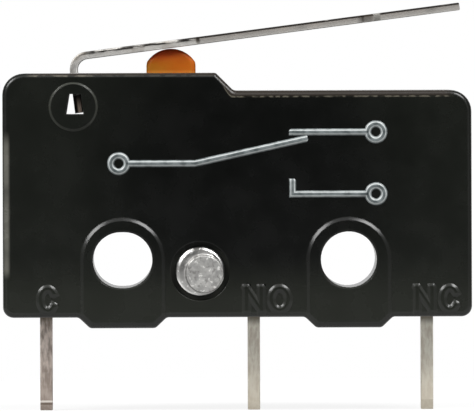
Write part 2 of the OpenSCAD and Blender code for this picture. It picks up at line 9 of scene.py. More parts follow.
# %% Load the frame
import json
import bmesh
import bpy
import numpy as np
from mathutils import Euler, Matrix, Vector


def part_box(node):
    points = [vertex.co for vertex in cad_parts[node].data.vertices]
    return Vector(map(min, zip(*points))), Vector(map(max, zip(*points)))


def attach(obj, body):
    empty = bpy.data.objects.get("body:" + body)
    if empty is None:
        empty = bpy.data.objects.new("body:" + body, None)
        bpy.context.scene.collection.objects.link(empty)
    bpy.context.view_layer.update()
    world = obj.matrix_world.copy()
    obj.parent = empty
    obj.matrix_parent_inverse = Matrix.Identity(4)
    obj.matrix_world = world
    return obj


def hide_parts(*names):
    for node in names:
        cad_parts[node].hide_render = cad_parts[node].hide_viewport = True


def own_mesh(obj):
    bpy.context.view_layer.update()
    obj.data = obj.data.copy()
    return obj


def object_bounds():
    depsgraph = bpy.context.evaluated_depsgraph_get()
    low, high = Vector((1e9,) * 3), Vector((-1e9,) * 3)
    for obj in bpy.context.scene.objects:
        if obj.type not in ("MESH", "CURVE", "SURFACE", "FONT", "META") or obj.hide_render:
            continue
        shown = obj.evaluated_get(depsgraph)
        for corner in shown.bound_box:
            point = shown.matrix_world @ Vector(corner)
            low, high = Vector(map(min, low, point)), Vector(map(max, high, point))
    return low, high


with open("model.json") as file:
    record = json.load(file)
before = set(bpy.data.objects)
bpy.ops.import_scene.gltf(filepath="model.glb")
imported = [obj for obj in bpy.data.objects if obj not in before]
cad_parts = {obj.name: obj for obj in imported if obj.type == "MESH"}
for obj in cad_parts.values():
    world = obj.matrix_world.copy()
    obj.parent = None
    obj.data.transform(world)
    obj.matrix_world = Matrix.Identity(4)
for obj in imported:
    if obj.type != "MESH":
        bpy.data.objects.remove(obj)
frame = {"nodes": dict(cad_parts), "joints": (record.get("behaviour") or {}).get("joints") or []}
cad_low, cad_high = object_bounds()
scene = bpy.context.scene
MM = 0.001


def new_object(name, data):
    """An object in the scene for a mesh, a camera or a light."""
    made = bpy.data.objects.new(name, data)
    scene.collection.objects.link(made)
    return made


def node_box(node):
    """Lowest and highest corner of a CAD node at rest, in millimetres."""
    low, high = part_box(node)
    return np.array(low) / MM, np.array(high) / MM


print("CAD size, mm:", np.round(np.array(cad_high - cad_low) / MM, 3))

# %% [markdown]
# ## The camera
#
# Product pictures of small parts are taken with a long lens from far away, so that parallel edges stay
# parallel. The camera could be orthographic, but the inside of the mounting holes shows a little, so a
# perspective camera with a very long lens is closer. It stands slightly above and to the left.

# %% Make the camera
PICTURE_WIDTH = 475
PIXELS_PER_MM = 23.7
VIEW_CENTRE = Vector((0.093, 0.0, 2.226)) * MM
VIEW_DISTANCE = 600 * MM
VIEW_AZIMUTH = np.radians(-0.2)
VIEW_ELEVATION = np.radians(0.6)
VIEW_ROLL = np.radians(-0.2)

camera = new_object("camera", bpy.data.cameras.new("camera"))
scene.camera = camera
backward = Vector((
    np.sin(VIEW_AZIMUTH) * np.cos(VIEW_ELEVATION),
    -np.cos(VIEW_AZIMUTH) * np.cos(VIEW_ELEVATION),
    np.sin(VIEW_ELEVATION),
))
camera.location = VIEW_CENTRE + backward * VIEW_DISTANCE
aim = (-backward).to_track_quat("-Z", "Y").to_matrix() @ Euler((0, 0, VIEW_ROLL)).to_matrix()
camera.rotation_euler = aim.to_euler()
view_width = PICTURE_WIDTH / PIXELS_PER_MM * MM
camera.data.lens = camera.data.sensor_width * VIEW_DISTANCE / view_width
camera.data.clip_start = VIEW_DISTANCE / 10
camera.data.clip_end = VIEW_DISTANCE * 4
print("lens, mm:", round(camera.data.lens), "view width, mm:", round(view_width / MM, 2))

# %% [markdown]
# ## Tools for shapes
#
# A new piece here is a grid of points. Each row is a ring round the piece, and the rows follow one another
# along a path or a profile. Numpy works out all points of a grid at once, and only the list of faces has to
# say which points are neighbours. Millimetres are easier to read at this size, so shapes are worked out in
# millimetres and become metres when the mesh is made.

# %% Grids and lofts
def grid_faces(rows, columns, wrap_rows=False):
    """Quads between neighbouring points of a grid whose rows are closed rings.

    Point (r, c) is number r * columns + c; the last row joins the first if wrap_rows is set.
    """
    r, c = np.meshgrid(np.arange(rows - (not wrap_rows)), np.arange(columns), indexing="ij")
    next_r, next_c = (r + 1) % rows, (c + 1) % columns
    quads = np.stack([r * columns + c, r * columns + next_c, next_r * columns + next_c,
                      next_r * columns + c], axis=-1)
    return quads.reshape(-1, 4).tolist()


def loft(rings, closed=False):
    """A skin over a stack of rings, with a flat cap on each end unless the stack closes on itself."""
    rows, columns = rings.shape[:2]
    faces = grid_faces(rows, columns, wrap_rows=closed)
    if not closed:
        faces.append(list(range(columns)))
        faces.append(list(range((rows - 1) * columns, rows * columns)))
    return rings.reshape(-1, 3), faces


def joined(shapes):
    """Several shapes as one: all points in a row, and each shape's faces counted on from the last."""
    starts = np.cumsum([0] + [len(points) for points, faces in shapes])
    faces = [[corner + start for corner in face]
             for (points, shape_faces), start in zip(shapes, starts) for face in shape_faces]
    return np.concatenate([points for points, shape_faces in shapes]), faces


def unit(vectors):
    """The same directions with length 1."""
    return vectors / np.linalg.norm(vectors, axis=1, keepdims=True)


def round_rectangle(half_u, half_v, radius, steps=4):
    """Outline of a rectangle with round corners: corner centre + radius * (cos, sin) of a quarter turn.

    half_u and half_v may be columns of numbers, one for each ring of a loft.
    """
    quarter = np.linspace(0, np.pi / 2, steps + 1)
    angle = (np.arange(4)[:, None] * np.pi / 2 + quarter).ravel()
    side_u = np.repeat([1, -1, -1, 1], steps + 1)
    side_v = np.repeat([1, 1, -1, -1], steps + 1)
    u = side_u * (half_u - radius) + radius * np.cos(angle)
    v = side_v * (half_v - radius) + radius * np.sin(angle)
    return u, v


print("faces of a box, as a loft over two rings:", len(loft(np.zeros((2, 4, 3)))[1]))

# %% From shapes to pieces
SHARP_ANGLE = np.radians(38)
POINT_MERGE = 1e-4


def tidy_mesh(mesh, merge=POINT_MERGE, flatten=0.0):
    """Merge doubled points, dissolve flat seams if asked, turn faces outwards and shade smooth by angle."""
    build = bmesh.new()
    build.from_mesh(mesh)
    bmesh.ops.remove_doubles(build, verts=build.verts, dist=merge * MM)
    if flatten:
        bmesh.ops.dissolve_limit(build, angle_limit=flatten, verts=build.verts, edges=build.edges)
    bmesh.ops.recalc_face_normals(build, faces=build.faces)
    build.to_mesh(mesh)
    build.free()
    mesh.polygons.foreach_set("use_smooth", np.ones(len(mesh.polygons), bool))
    mesh.set_sharp_from_angle(angle=SHARP_ANGLE)


def place(name, mesh, material, body, slot, nodes=()):
    """An object for the mesh, riding on a CAD body and standing for the CAD nodes that it replaces."""
    piece = new_object(name, mesh)
    mesh.materials.clear()
    mesh.materials.append(material)
    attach(piece, body)
    if nodes:
        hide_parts(*nodes)
    print(name, "rides on", body, "with", len(mesh.polygons), "faces")
    return piece


def shaped(name, shape, values=()):
    """A mesh from points in millimetres and faces; values are numbers kept on its points by name."""
    points, faces = shape
    mesh = bpy.data.meshes.new(name)
    mesh.from_pydata((points * MM).tolist(), [], faces)
    for label, numbers in dict(values).items():
        layer = mesh.attributes.new(label, "FLOAT", "POINT")
        layer.data.foreach_set("value", np.asarray(numbers, np.float32).ravel())
    tidy_mesh(mesh)
    return mesh


print("edges are sharp from a turn of, degrees:", round(np.degrees(SHARP_ANGLE)))

# %% Copies of CAD nodes
SHADE_ANGLE, SEAM_ANGLE = np.radians([30, 0.4])
SKIN_MERGE, PLANE_STEP = 2e-3, 2e-3
NORMAL_STEPS = 300


def skin_mesh(node, flatten=SEAM_ANGLE):
    """A merged copy of a CAD node's triangles; seams in flat faces are dissolved unless flatten is 0."""
    mesh = frame["nodes"][node].data.copy()
    mesh.name = node
    tidy_mesh(mesh, merge=SKIN_MERGE, flatten=flatten)
    return mesh


def shade_flats(mesh):
    """Corner normals that keep flats flat and roundings smooth on a mesh of triangles.

    Triangles in one plane add up their areas. A corner's normal is the sum of the normals of all triangles
    round its point that lean less than SHADE_ANGLE from its own, each times the area of its plane.
    """
    count = len(mesh.polygons)
    normal, centre, area = (np.empty(count * size, np.float32) for size in (3, 3, 1))
    mesh.polygons.foreach_get("normal", normal)
    mesh.polygons.foreach_get("center", centre)
    mesh.polygons.foreach_get("area", area)
    normal, centre = normal.reshape(-1, 3), centre.reshape(-1, 3)
    offset = np.sum(normal * centre, axis=1) / (PLANE_STEP * MM)
    plane = np.round(np.column_stack([normal * NORMAL_STEPS, offset]))
    planes = np.unique(plane, axis=0, return_inverse=True)[1].ravel()
    plane_area = np.bincount(planes, area)[planes]
    point = np.empty(count * 3, np.int32)
    mesh.loops.foreach_get("vertex_index", point)
    order = np.argsort(point, kind="stable")
    start = np.searchsorted(point[order], point[order], "left")
    size = np.searchsorted(point[order], point[order], "right") - start
    own = np.repeat(order, size)
    other = order[np.repeat(start - np.cumsum(size) + size, size) + np.arange(size.sum())]
    near = np.sum(normal[own // 3] * normal[other // 3], axis=1) > np.cos(SHADE_ANGLE)
    pull = (near * plane_area[other // 3])[:, None] * normal[other // 3]
    total = np.stack([np.bincount(own, pull[:, axis]) for axis in range(3)], axis=1)
    mesh.normals_split_custom_set(unit(total).tolist())


def keep_flats(piece):
    """Let large faces set the normals of their corners, so that light doesn't bend near their edges."""
    flat = piece.modifiers.new("flat faces", "WEIGHTED_NORMAL")
    flat.keep_sharp = True


def break_edges(piece, width):
    """Round every sharp edge of a piece by a width in millimetres, and keep its flat faces flat."""
    bevel = piece.modifiers.new("broken edges", "BEVEL")
    bevel.width = width * MM
    bevel.segments = 2
    bevel.limit_method = "ANGLE"
    bevel.angle_limit = SHARP_ANGLE
    bevel.use_clamp_overlap = False
    bevel.miter_outer = "MITER_ARC"
    keep_flats(piece)


print("nodes:", ", ".join(sorted(frame["nodes"])))

# %% [markdown]
# ## Shared surface effects
#
# Every real surface varies: mould grain, patches of different gloss, a few specks, edges that catch the
# light. These could be painted into each material again and again. A node group keeps one recipe in one
# place, and each material sets its own sizes. Sizes are in millimetres, because position() turns Blender's
# metres into millimetres before a texture or a mask looks up a place. Arithmetic on a surface takes a node
# for each step, so a small class lets it be written as plain sums.

# %% Values of shader nodes
class Value:
    """What a shader node puts out; a sum such as a + b places the nodes that work it out."""

    def __init__(self, node, output=0):
        self.node, self.tree, self.socket = node, node.id_data, node.outputs[output]

    def at(self, output):
        """Another output of the same node."""
        return Value(self.node, output)

    def math(self, operation, other=0.0):
        """One step of arithmetic, with another value or a number."""
        return add(self.tree, "Math", {0: self, 1: other}, operation=operation)

    def __add__(self, other):
        return self.math("ADD", other)

    def __sub__(self, other):
        return self.math("SUBTRACT", other)

    def __rsub__(self, other):
        return add(self.tree, "Math", {0: other, 1: self}, operation="SUBTRACT")

    def __mul__(self, other):
        return self.math("MULTIPLY", other)

    def __rtruediv__(self, other):
        return add(self.tree, "Math", {0: other, 1: self}, operation="DIVIDE")

    def __pow__(self, other):
        return self.math("POWER", other)

    def __abs__(self):
        return self.math("ABSOLUTE")

    def ramp(self, low, high, out_low=0.0, out_high=1.0):
        """Smooth step: out_low below low, out_high above high, and an S curve between them."""
        inputs = {"Value": self, "From Min": low, "From Max": high, "To Min": out_low, "To Max": out_high}
        return add(self.tree, "MapRange", inputs, interpolation_type="SMOOTHSTEP")

    def band(self, start, full, fade, end):
        """A mask that rises from start to full, stays at 1, and falls from fade to end."""
        return self.ramp(start, full) * self.ramp(end, fade)

    def mix(self, first, second):
        """Blend two colours, with this value as the mask."""
        inputs = {0: self, 6: linear(first), 7: linear(second)}
        return add(self.tree, "Mix", inputs, data_type="RGBA").at(2)


def feed(socket, value):
    """Link a value to a socket, or set the socket to a plain number or colour."""
    if isinstance(value, Value):
        value.tree.links.new(value.socket, socket)
    else:
        socket.default_value = value


def add(tree, kind, inputs=(), **settings):
    """Place a shader node, feed its inputs and give back its first output."""
    node = tree.nodes.new("ShaderNode" + kind)
    for name, setting in settings.items():
        setattr(node, name, setting)
    for socket, value in dict(inputs).items():
        feed(node.inputs[socket], value)
    return Value(node)


print("steps that a value can take:", ", ".join(name for name in vars(Value) if name[0] != "_"))

# %% Colours and places
def linear(tone):
    """A colour as a picture viewer shows it, 0 to 255, in Blender's linear light; a value stays one."""
    if isinstance(tone, Value):
        return tone
    shown = np.array(tone) / 255
    return (*np.where(shown <= 0.04045, shown / 12.92, ((shown + 0.055) / 1.055) ** 2.4), 1.0)


def coats(base, *layers):
    """A base colour with coats over it, one after another; each is a mask and a colour."""
    for mask, coat in layers:
        base = mask.mix(base, coat)
    return base


def position(tree):
    """Where a point lies in the object, in millimetres: as one vector, then as x, y and z."""
    metres = add(tree, "TexCoord").at("Object")
    spot = add(tree, "VectorMath", {0: metres, "Scale": 1 / MM}, operation="SCALE")
    parts = add(tree, "SeparateXYZ", {0: spot})
    return spot, *(parts.at(axis) for axis in "XYZ")


print("middle grey in linear light:", round(linear((128, 128, 128))[0], 3))

# %% The two groups
SPECK_FADE, SPECK_FULL = 0.12, 0.05
FLAT_LEAN, EDGE_LEAN = 0.99, 0.82
BEVEL_SAMPLES = 4


def new_group(name, inputs, outputs):
    """An empty node group with value inputs, given with their usual values, and value outputs."""
    group = bpy.data.node_groups.new(name, "ShaderNodeTree")
    for label, usual in inputs.items():
        socket = group.interface.new_socket(label, in_out="INPUT", socket_type="NodeSocketFloat")
        socket.default_value = usual
    for label in outputs:
        group.interface.new_socket(label, in_out="OUTPUT", socket_type="NodeSocketFloat")
    return group, group.nodes.new("NodeGroupInput"), group.nodes.new("NodeGroupOutput")


def surface_variation():
    """Grain, patches and specks, all from the piece's own place in the object."""
    sizes = {"Grain mm": 0.06, "Patch mm": 2.0, "Speck mm": 0.5, "Speck share": 0.1}
    group, given, result = new_group("surface variation", sizes, ["Grain", "Patches", "Specks"])
    spot = position(group)[0]

    def texture(kind, size, **inputs):
        return add(group, kind, {"Vector": spot, "Scale": 1.0 / Value(given, size), **inputs})

    cells = texture("TexVoronoi", "Speck mm")
    lucky = cells.at("Color").math("LESS_THAN", Value(given, "Speck share"))
    near = cells.at("Distance").ramp(SPECK_FADE, SPECK_FULL)
    feed(result.inputs["Grain"], texture("TexNoise", "Grain mm", Detail=2.0, Roughness=0.6))
    feed(result.inputs["Patches"], texture("TexNoise", "Patch mm", Detail=4.0, Roughness=0.55))
    feed(result.inputs["Specks"], lucky * near)
    return group


def edge_light():
    """A mask that is 1 on corners and edges: how far a rounded normal leans away from the true one."""
    group, given, result = new_group("edge light", {"Reach mm": 0.1}, ["Edge"])
    rounded = add(group, "Bevel", {"Radius": Value(given, "Reach mm") * MM}, samples=BEVEL_SAMPLES)
    true = add(group, "NewGeometry").at("Normal")
    lean = add(group, "VectorMath", {0: rounded, 1: true}, operation="DOT_PRODUCT").at("Value")
    feed(result.inputs["Edge"], lean.ramp(FLAT_LEAN, EDGE_LEAN))
    return group


VARIATION = surface_variation()
EDGES = edge_light()
print("groups:", VARIATION.name, "and", EDGES.name)

# %% From groups to materials
PATCH_TONES, PATCH_GLOSS = (0.3, 0.7), (0.2, 0.8)


def use_group(tree, group, **sizes):
    """Place a group in a material with its own sizes, and give back its outputs in their order."""
    inputs = {label.replace("_", " "): size for label, size in sizes.items()}
    placed = add(tree, "Group", inputs, node_tree=group)
    return [placed.at(label) for label in placed.node.outputs.keys()]


def patchy(patches, dark, light):
    """Two tones of one colour, in soft patches."""
    return patches.ramp(*PATCH_TONES).mix(dark, light)


def patchy_gloss(patches, smooth, rough):
    """A roughness that changes with the patches."""
    return patches.ramp(*PATCH_GLOSS, smooth, rough)


def new_material(name, **sockets):
    """A material with one Principled shader, whose plain sockets are set by name."""
    material = bpy.data.materials.new(name)
    material.use_nodes = True
    shader = material.node_tree.nodes["Principled BSDF"]
    for label, value in sockets.items():
        shader.inputs[label.replace("_", " ")].default_value = value
    return material, material.node_tree, shader


def finish_shader(shader, base, roughness, height, depth, rounding=0.0):
    """Feed the shader a colour, a roughness and a bump; depth and edge rounding are in millimetres."""
    tree = shader.id_data
    bump = {"Height": height, "Distance": depth * MM, "Strength": 1.0}
    if rounding:
        bump["Normal"] = add(tree, "Bevel", {"Radius": rounding * MM}, samples=BEVEL_SAMPLES)
    feed(shader.inputs["Base Color"], base)
    feed(shader.inputs["Roughness"], roughness)
    feed(shader.inputs["Normal"], add(tree, "Bump", bump))


print("materials before the first piece:", len(bpy.data.materials))

# %% [markdown]
# ## The housing
#
# Case and cover are injection moulded from black plastic. Their faces are satin with a very fine grain,
# and every edge is slightly round, because a mould can't hold a knife edge. The CAD solids already have
# the right form and the larger roundings. A Bevel modifier could break the last sharp edges, but flat
# faces with holes must then be single polygons, which Blender fills badly. So a merged copy of each keeps
# its triangles, gets normals that tell flats from roundings, and a Bevel node softens the sharp edges. The
# grain comes from a bump, and a little grey on the edges is partly wear and partly a painted highlight.
# The colour of the face also holds painted light and shade.

# %% Black moulded plastic
EDGE_ROUNDING = 0.04
FACE_MIDDLE = (0.5, -3.1, 3.5)
MIDDLE_SHADE_REACH, END_LIGHT_REACH = 3, 9
LOW_FACE_Z = (0.3, -1.8)
FRONT_Y = (-2.2, -2.8)
RIVET_AXIS = np.array([-1.49, -0.47])
RECESS_WALL = (1.27, 1.20)
DISC_AXIS = np.array([-6.80, 6.45])
DISC_RADIUS = 0.99
DISC_RIM = (0.06, 0.02)
SCUFF_SHEEN_X = (-9.76, -9.70, -9.58, -9.44)
SCUFF_SHEEN_Z = (-0.85, -0.35, 4.7, 5.5)
LEDGE_Z = 7.74
LEDGE_STEP = 0.89
LEDGE_STEP_X = (-0.9, -0.1)
LEDGE_SPAN = (-8.9, -8.3, 8.7, 9.3)
LEDGE_EDGE_Y = (-2.75, -2.9)
LEFT_DASHES_X = (-6.4, -5.4)
RIGHT_DASHES_X = (-1.0, -0.4)
DASH_HALF = (0.05, 0.01)
DASHES_PER_MM = 3.2


def from_axis(x, z, axis):
    """Distance from an axis across the part: the root of the squares of the distances in x and in z."""
    squares = (x - axis[0]) ** 2.0 + (z - axis[1]) ** 2.0
    return squares.math("SQRT")


def black_plastic(name, gloss, rounding=0.0):
    """Near-black plastic: grain as bump, patches as changes of gloss, pale specks of dust.

    The face has painted light and shade: it is deepest round its middle, greyer towards the ends and paler
    low down. Painted light lifts the shade in the rivet's recess, a painted highlight runs round the rim of
    the disc round the hinge, and a broken line of painted highlight runs along the edge of the top ledge
    under a brown painted reflection. The left front corner is paler, partly worn and partly a painted
    highlight, and the edges are a little greyer, partly worn and partly a painted highlight.
    """
    material, tree, shader = new_material(name, Specular_IOR_Level=0.4)
    grain, patches, specks = use_group(
        tree, VARIATION, Grain_mm=0.07, Patch_mm=1.6, Speck_mm=0.55, Speck_share=0.1)
    edge = use_group(tree, EDGES, Reach_mm=0.09)[0]
    spot, x, y, z = position(tree)
    front = y.ramp(*FRONT_Y)
    middle = add(tree, "VectorMath", {0: spot, 1: FACE_MIDDLE}, operation="DISTANCE").at("Value")
    recess = from_axis(x, z, RIVET_AXIS).ramp(*RECESS_WALL, 0.0, 0.8)
    rim = abs(from_axis(x, z, DISC_AXIS) - DISC_RADIUS).ramp(*DISC_RIM, 0.0, 0.8)
    # paler band down the left front corner: partly wear, partly a painted highlight
    scuff_and_sheen = x.band(*SCUFF_SHEEN_X) * z.band(*SCUFF_SHEEN_Z) * front * patches.ramp(0.3, 0.6, 0.45, 1.0)
    over = z - LEDGE_Z + x.ramp(*LEDGE_STEP_X, 0.0, LEDGE_STEP)
    ledge = x.band(*LEDGE_SPAN) * front
    breaks = add(tree, "TexNoise", {"Vector": spot, "Scale": DASHES_PER_MM, "Detail": 2.0})
    ends = x.ramp(*LEFT_DASHES_X, 1.0, 0.2).math("MAXIMUM", x.ramp(*RIGHT_DASHES_X))
    # painted highlight: a broken pale line along the front edge of the top ledge
    glint_dashes = abs(over).ramp(*DASH_HALF) * breaks.ramp(0.42, 0.58, 0.05, 0.9) * ends * ledge
    base = coats(
        patches.mix((4, 5, 4), (7, 8, 7)),
        # painted light: the face is darkest round its middle and greyer towards the ends
        (middle.ramp(MIDDLE_SHADE_REACH, END_LIGHT_REACH), patches.mix((16, 18, 15), (24, 26, 22))),
        # painted light: the face is paler low down
        (z.ramp(*LOW_FACE_Z, 0.0, 0.8), (34, 36, 31)),
        # painted light that lifts the shade in the rivet's recess
        (recess * front, (52, 53, 48)),
        # painted highlight round the rim of the disc round the hinge
        (rim * front, (64, 66, 60)),
        # partly wear, partly a painted highlight down the left front corner
        (scuff_and_sheen, (100, 99, 92)),
        # painted reflection: a brown band along the top of the ledge's front edge
        (ledge * over.ramp(0.0, 0.06) * y.ramp(*LEDGE_EDGE_Y), (44, 39, 34)),
        # painted highlight in a broken line along the ledge
        (glint_dashes, (98, 94, 83)),
        # edges a little greyer in patches: partly wear, partly a painted highlight
        (edge * patches.ramp(0.42, 0.62, 0.05, 0.35), (74, 73, 68)),
        (specks * 0.5, (112, 110, 104)),
    )
    rough = patches.ramp(0.25, 0.75, gloss - 0.03, gloss + 0.04)
    finish_shader(shader, base, rough, grain, 0.0015, rounding)
    return material


housing_plastic = black_plastic("housing plastic", 0.26, EDGE_ROUNDING)
print(housing_plastic.name, "nodes:", len(housing_plastic.node_tree.nodes))

# %% Case and cover
for node in ("case", "cover"):
    shell = place(node + "_shell", skin_mesh(node, 0), housing_plastic, "housing", "housing_plastic",
                  [node])
    shade_flats(shell.data)

# %% [markdown]
# ## Raised marks on the cover
#
# The mould has the names of the three terminals cut into it, so they stand up from the face in the same
# black plastic: common, normally open and normally closed. Blender's text object could make letters, but
# a bead with sloping sides carried along a line is what the engraver's cutter really leaves.

# %% A bead along a line
PAD_RISE = 0.1
SINK = 0.03
SHOULDER_OUT, SHOULDER_IN, SHOULDER_RISE = 0.1, 0.3, 0.85
face_y = node_box("cover")[0][1] + PAD_RISE


def bead(line, base, top, rise, closed=False):
    """A ridge with sloping sides, carried along a line of (x, z) points on the cover's face.

    At each point the section runs along the line's normal, lengthened by 1 / cos of half the turn so that
    corners keep their width. An open line gets two more sections at each end, the outer one flattened, so
    that the ends slope as the sides do.
    """
    line = np.asarray(line, float)
    if closed:
        ahead, behind = np.roll(line, -1, axis=0) - line, line - np.roll(line, 1, axis=0)
    else:
        step = np.diff(line, axis=0)
        ahead, behind = np.vstack([step, step[-1:]]), np.vstack([step[:1], step])
    along = unit(ahead) + unit(behind)
    stretch = 2 / np.sum(along * along, axis=1, keepdims=True) ** 0.5
    along = unit(along)
    lift = np.ones(len(line))
    if not closed:
        ends = [line[0] - along[0] * base / 2, line[0] - along[0] * top / 2,
                line[-1] + along[-1] * top / 2, line[-1] + along[-1] * base / 2]
        line = np.vstack([ends[:2], line, ends[2:]])
        along = np.vstack([along[:1], along[:1], along, along[-1:], along[-1:]])
        stretch = np.vstack([[[1], [1]], stretch, [[1], [1]]])
        lift = np.concatenate([[0, 1], lift, [1, 0]])
    normal = np.stack([-along[:, 1], along[:, 0]], axis=1) * stretch
    slope = (base - top) / 2
    outer, inner = top / 2 + slope * SHOULDER_OUT, top / 2 - slope * SHOULDER_IN
    shoulder = rise * SHOULDER_RISE
    across = np.array([-base / 2, -base / 2, -outer, -inner, inner, outer, base / 2, base / 2])
    height = np.array([-SINK, 0, shoulder, rise, rise, shoulder, 0, -SINK])
    flat = line[:, None, :] + normal[:, None, :] * across[None, :, None]
    up = np.where(height > 0, height * lift[:, None], height)
    return loft(np.stack([flat[..., 0], face_y - up, flat[..., 1]], axis=-1), closed)


def ellipse(centre, half_x, half_z, start=0.0, end=360.0, points=40):
    """Points round an ellipse, centre + (half_x * cos, half_z * sin), from one angle to another."""
    angle = np.radians(np.linspace(start, end, points, endpoint=end - start < 360))
    return np.stack([centre[0] + half_x * np.cos(angle), centre[1] + half_z * np.sin(angle)], axis=1)


print("face of the cover at y, mm:", round(face_y, 3))

# %% Names of the terminals
MARK_HEIGHT = 1.30
MARK_WIDTH = 1.0
WIDE_MARK = 1.09
MARK_Z = -1.67
MARK_BASE = 0.38
MARK_TOP = 0.16
MARK_RISE = 0.07
BAR_RISE = 0.066
LETTER_ROUND = (MARK_WIDTH - MARK_BASE) / 2
LETTER_TALL = (MARK_HEIGHT - MARK_BASE) / 2


def letter(kind, x):
    """One letter as beads: C is an open ellipse, O a closed one, N two posts and a slanting bar."""
    if kind == "C":
        return [bead(ellipse((x, MARK_Z), LETTER_ROUND, LETTER_TALL, 36, 324),
                     MARK_BASE, MARK_TOP, MARK_RISE)]
    if kind == "O":
        wide = (WIDE_MARK - MARK_BASE) / 2
        return [bead(ellipse((x, MARK_Z), wide, LETTER_TALL), MARK_BASE, MARK_TOP, MARK_RISE, True)]
    left, right = x - LETTER_ROUND, x + LETTER_ROUND
    low, high = MARK_Z - LETTER_TALL, MARK_Z + LETTER_TALL
    lines = [[(left, low), (left, high)], [(right, low), (right, high)], [(left, high), (right, low)]]
    rises = (MARK_RISE, MARK_RISE, BAR_RISE)
    return [bead(line, MARK_BASE, MARK_TOP, rise) for line, rise in zip(lines, rises)]


mark_plastic = black_plastic("mark plastic", 0.22)
TERMINAL_MARKS = {
    "common": {"C": -7.90},
    "normally_open": {"N": 0.755, "O": 1.84},
    "normally_closed": {"N": 7.925, "C": 8.98},
}
for terminal, letters in TERMINAL_MARKS.items():
    shapes = [shape for kind, x in letters.items() for shape in letter(kind, x)]
    place(terminal + "_mark", shaped(terminal + "_mark", joined(shapes)), mark_plastic,
          "housing", "housing_plastic")

# %% [markdown]
# ## The contact symbol
#
# Switches of this kind often carry their circuit on the cover: one arm that changes over between two
# contacts. Here it is drawn in the same beads, thinner and filled with pale grey. Rings stand for the
# terminals, the slanted bead is the arm, and it rests on the upper contact as the real blade does.

# %% Pale beads on the cover
def value_of(tree, label):
    """A number that the piece keeps on its points."""
    return add(tree, "Attribute", attribute_name=label).at("Fac")


def pale_print(name):
    """Pale grey filling on raised lines: worn thin in patches, with a painted highlight on the edges."""
    material, tree, shader = new_material(name, Specular_IOR_Level=0.5)
    grain, patches, _ = use_group(tree, VARIATION, Grain_mm=0.05, Patch_mm=0.35)
    filling = patchy(patches, (70, 77, 78), (122, 129, 130))
    # painted highlight on the beads' shoulders
    lit = value_of(tree, "ridge").ramp(0.3, 0.9) * patches.ramp(0.25, 0.5, 0.45, 1.0)
    base = lit.mix(filling, (190, 195, 194))
    finish_shader(shader, base, patchy_gloss(patches, 0.30, 0.45), grain, 0.004)
    return material


LINE_BASE = 0.29
LINE_TOP = 0.13
LINE_RISE = 0.06
RING = 0.34
COMMON_END = (-4.9, 4.05)
PIVOT = (-1.7, 4.05)
CLOSED_END = (5.9, 5.35)
OPEN_END = (5.9, 2.75)
CONTACT_X = 2.4
CONTACT_HOOK = 0.5
ARM_REACH = 2.9
RIDGE_SECTION = [0, 0, 1, 0.2, 0.2, 1, 0, 0]
outside = RING + LINE_TOP / 2
closed_x, closed_z = CLOSED_END
open_x, open_z = OPEN_END
rings = [ellipse(end, RING, RING) for end in (COMMON_END, CLOSED_END, OPEN_END)]
lines = [
    [(COMMON_END[0] + outside, COMMON_END[1]), PIVOT, (ARM_REACH, closed_z - LINE_BASE)],
    [(CONTACT_X, closed_z), (closed_x - outside, closed_z)],
    [(CONTACT_X, open_z + CONTACT_HOOK), (CONTACT_X, open_z), (open_x - outside, open_z)],
]
beads = [bead(ring, LINE_BASE, LINE_TOP, LINE_RISE, True) for ring in rings]
beads += [bead(line, LINE_BASE, LINE_TOP, LINE_RISE) for line in lines]
symbol = joined(beads)
ridges = np.tile(RIDGE_SECTION, len(symbol[0]) // len(RIDGE_SECTION))
place("contact_symbol", shaped("contact_symbol", symbol, {"ridge": ridges}), pale_print("pale print"),
      "housing", "housing_plastic")

# %% [markdown]
# ## The lever
#
# One strip of stainless steel, stamped and bent: two ears at its foot swing in the housing's windows, the
# leg bends over, and the arm narrows past the plunger. A box with a bend would lose what shows most from
# the side, the sheared edge. So a rounded section is carried along the bent line, and each point remembers
# where it lies along the strip and through its thickness, for the material to read.

# %% The bent strip
hinge = np.array(frame["joints"][0]["pos_m"]) / MM
LEVER_TILT = np.radians(7.3)
STRIP_HALF = 0.16
STRIP_CORNER = 0.045
STRIP_RINGS = 160
FOOT = 0.62
BEND_START = 1.13
BEND_RADIUS = 0.61
ARM_END = 16.45
EAR_HALF, ROOT_HALF, ARM_HALF = 3.0, 1.8, 1.65
EAR_TOP = 0.16
EAR_STEP, ARM_STEP = 0.06, 0.1
NARROWING_X = 5.3
NICK_X = (12.3, 13.1)
NICK_DEPTH = 0.12
NICK_SLOPE = 0.3
leg_length = FOOT + BEND_START
bend_length = BEND_RADIUS * np.pi / 2
strip_length = leg_length + bend_length + ARM_END - BEND_RADIUS


def along_arm(x):
    """Length along the strip of a point on the arm at distance x from the hinge."""
    return leg_length + bend_length + x - BEND_RADIUS


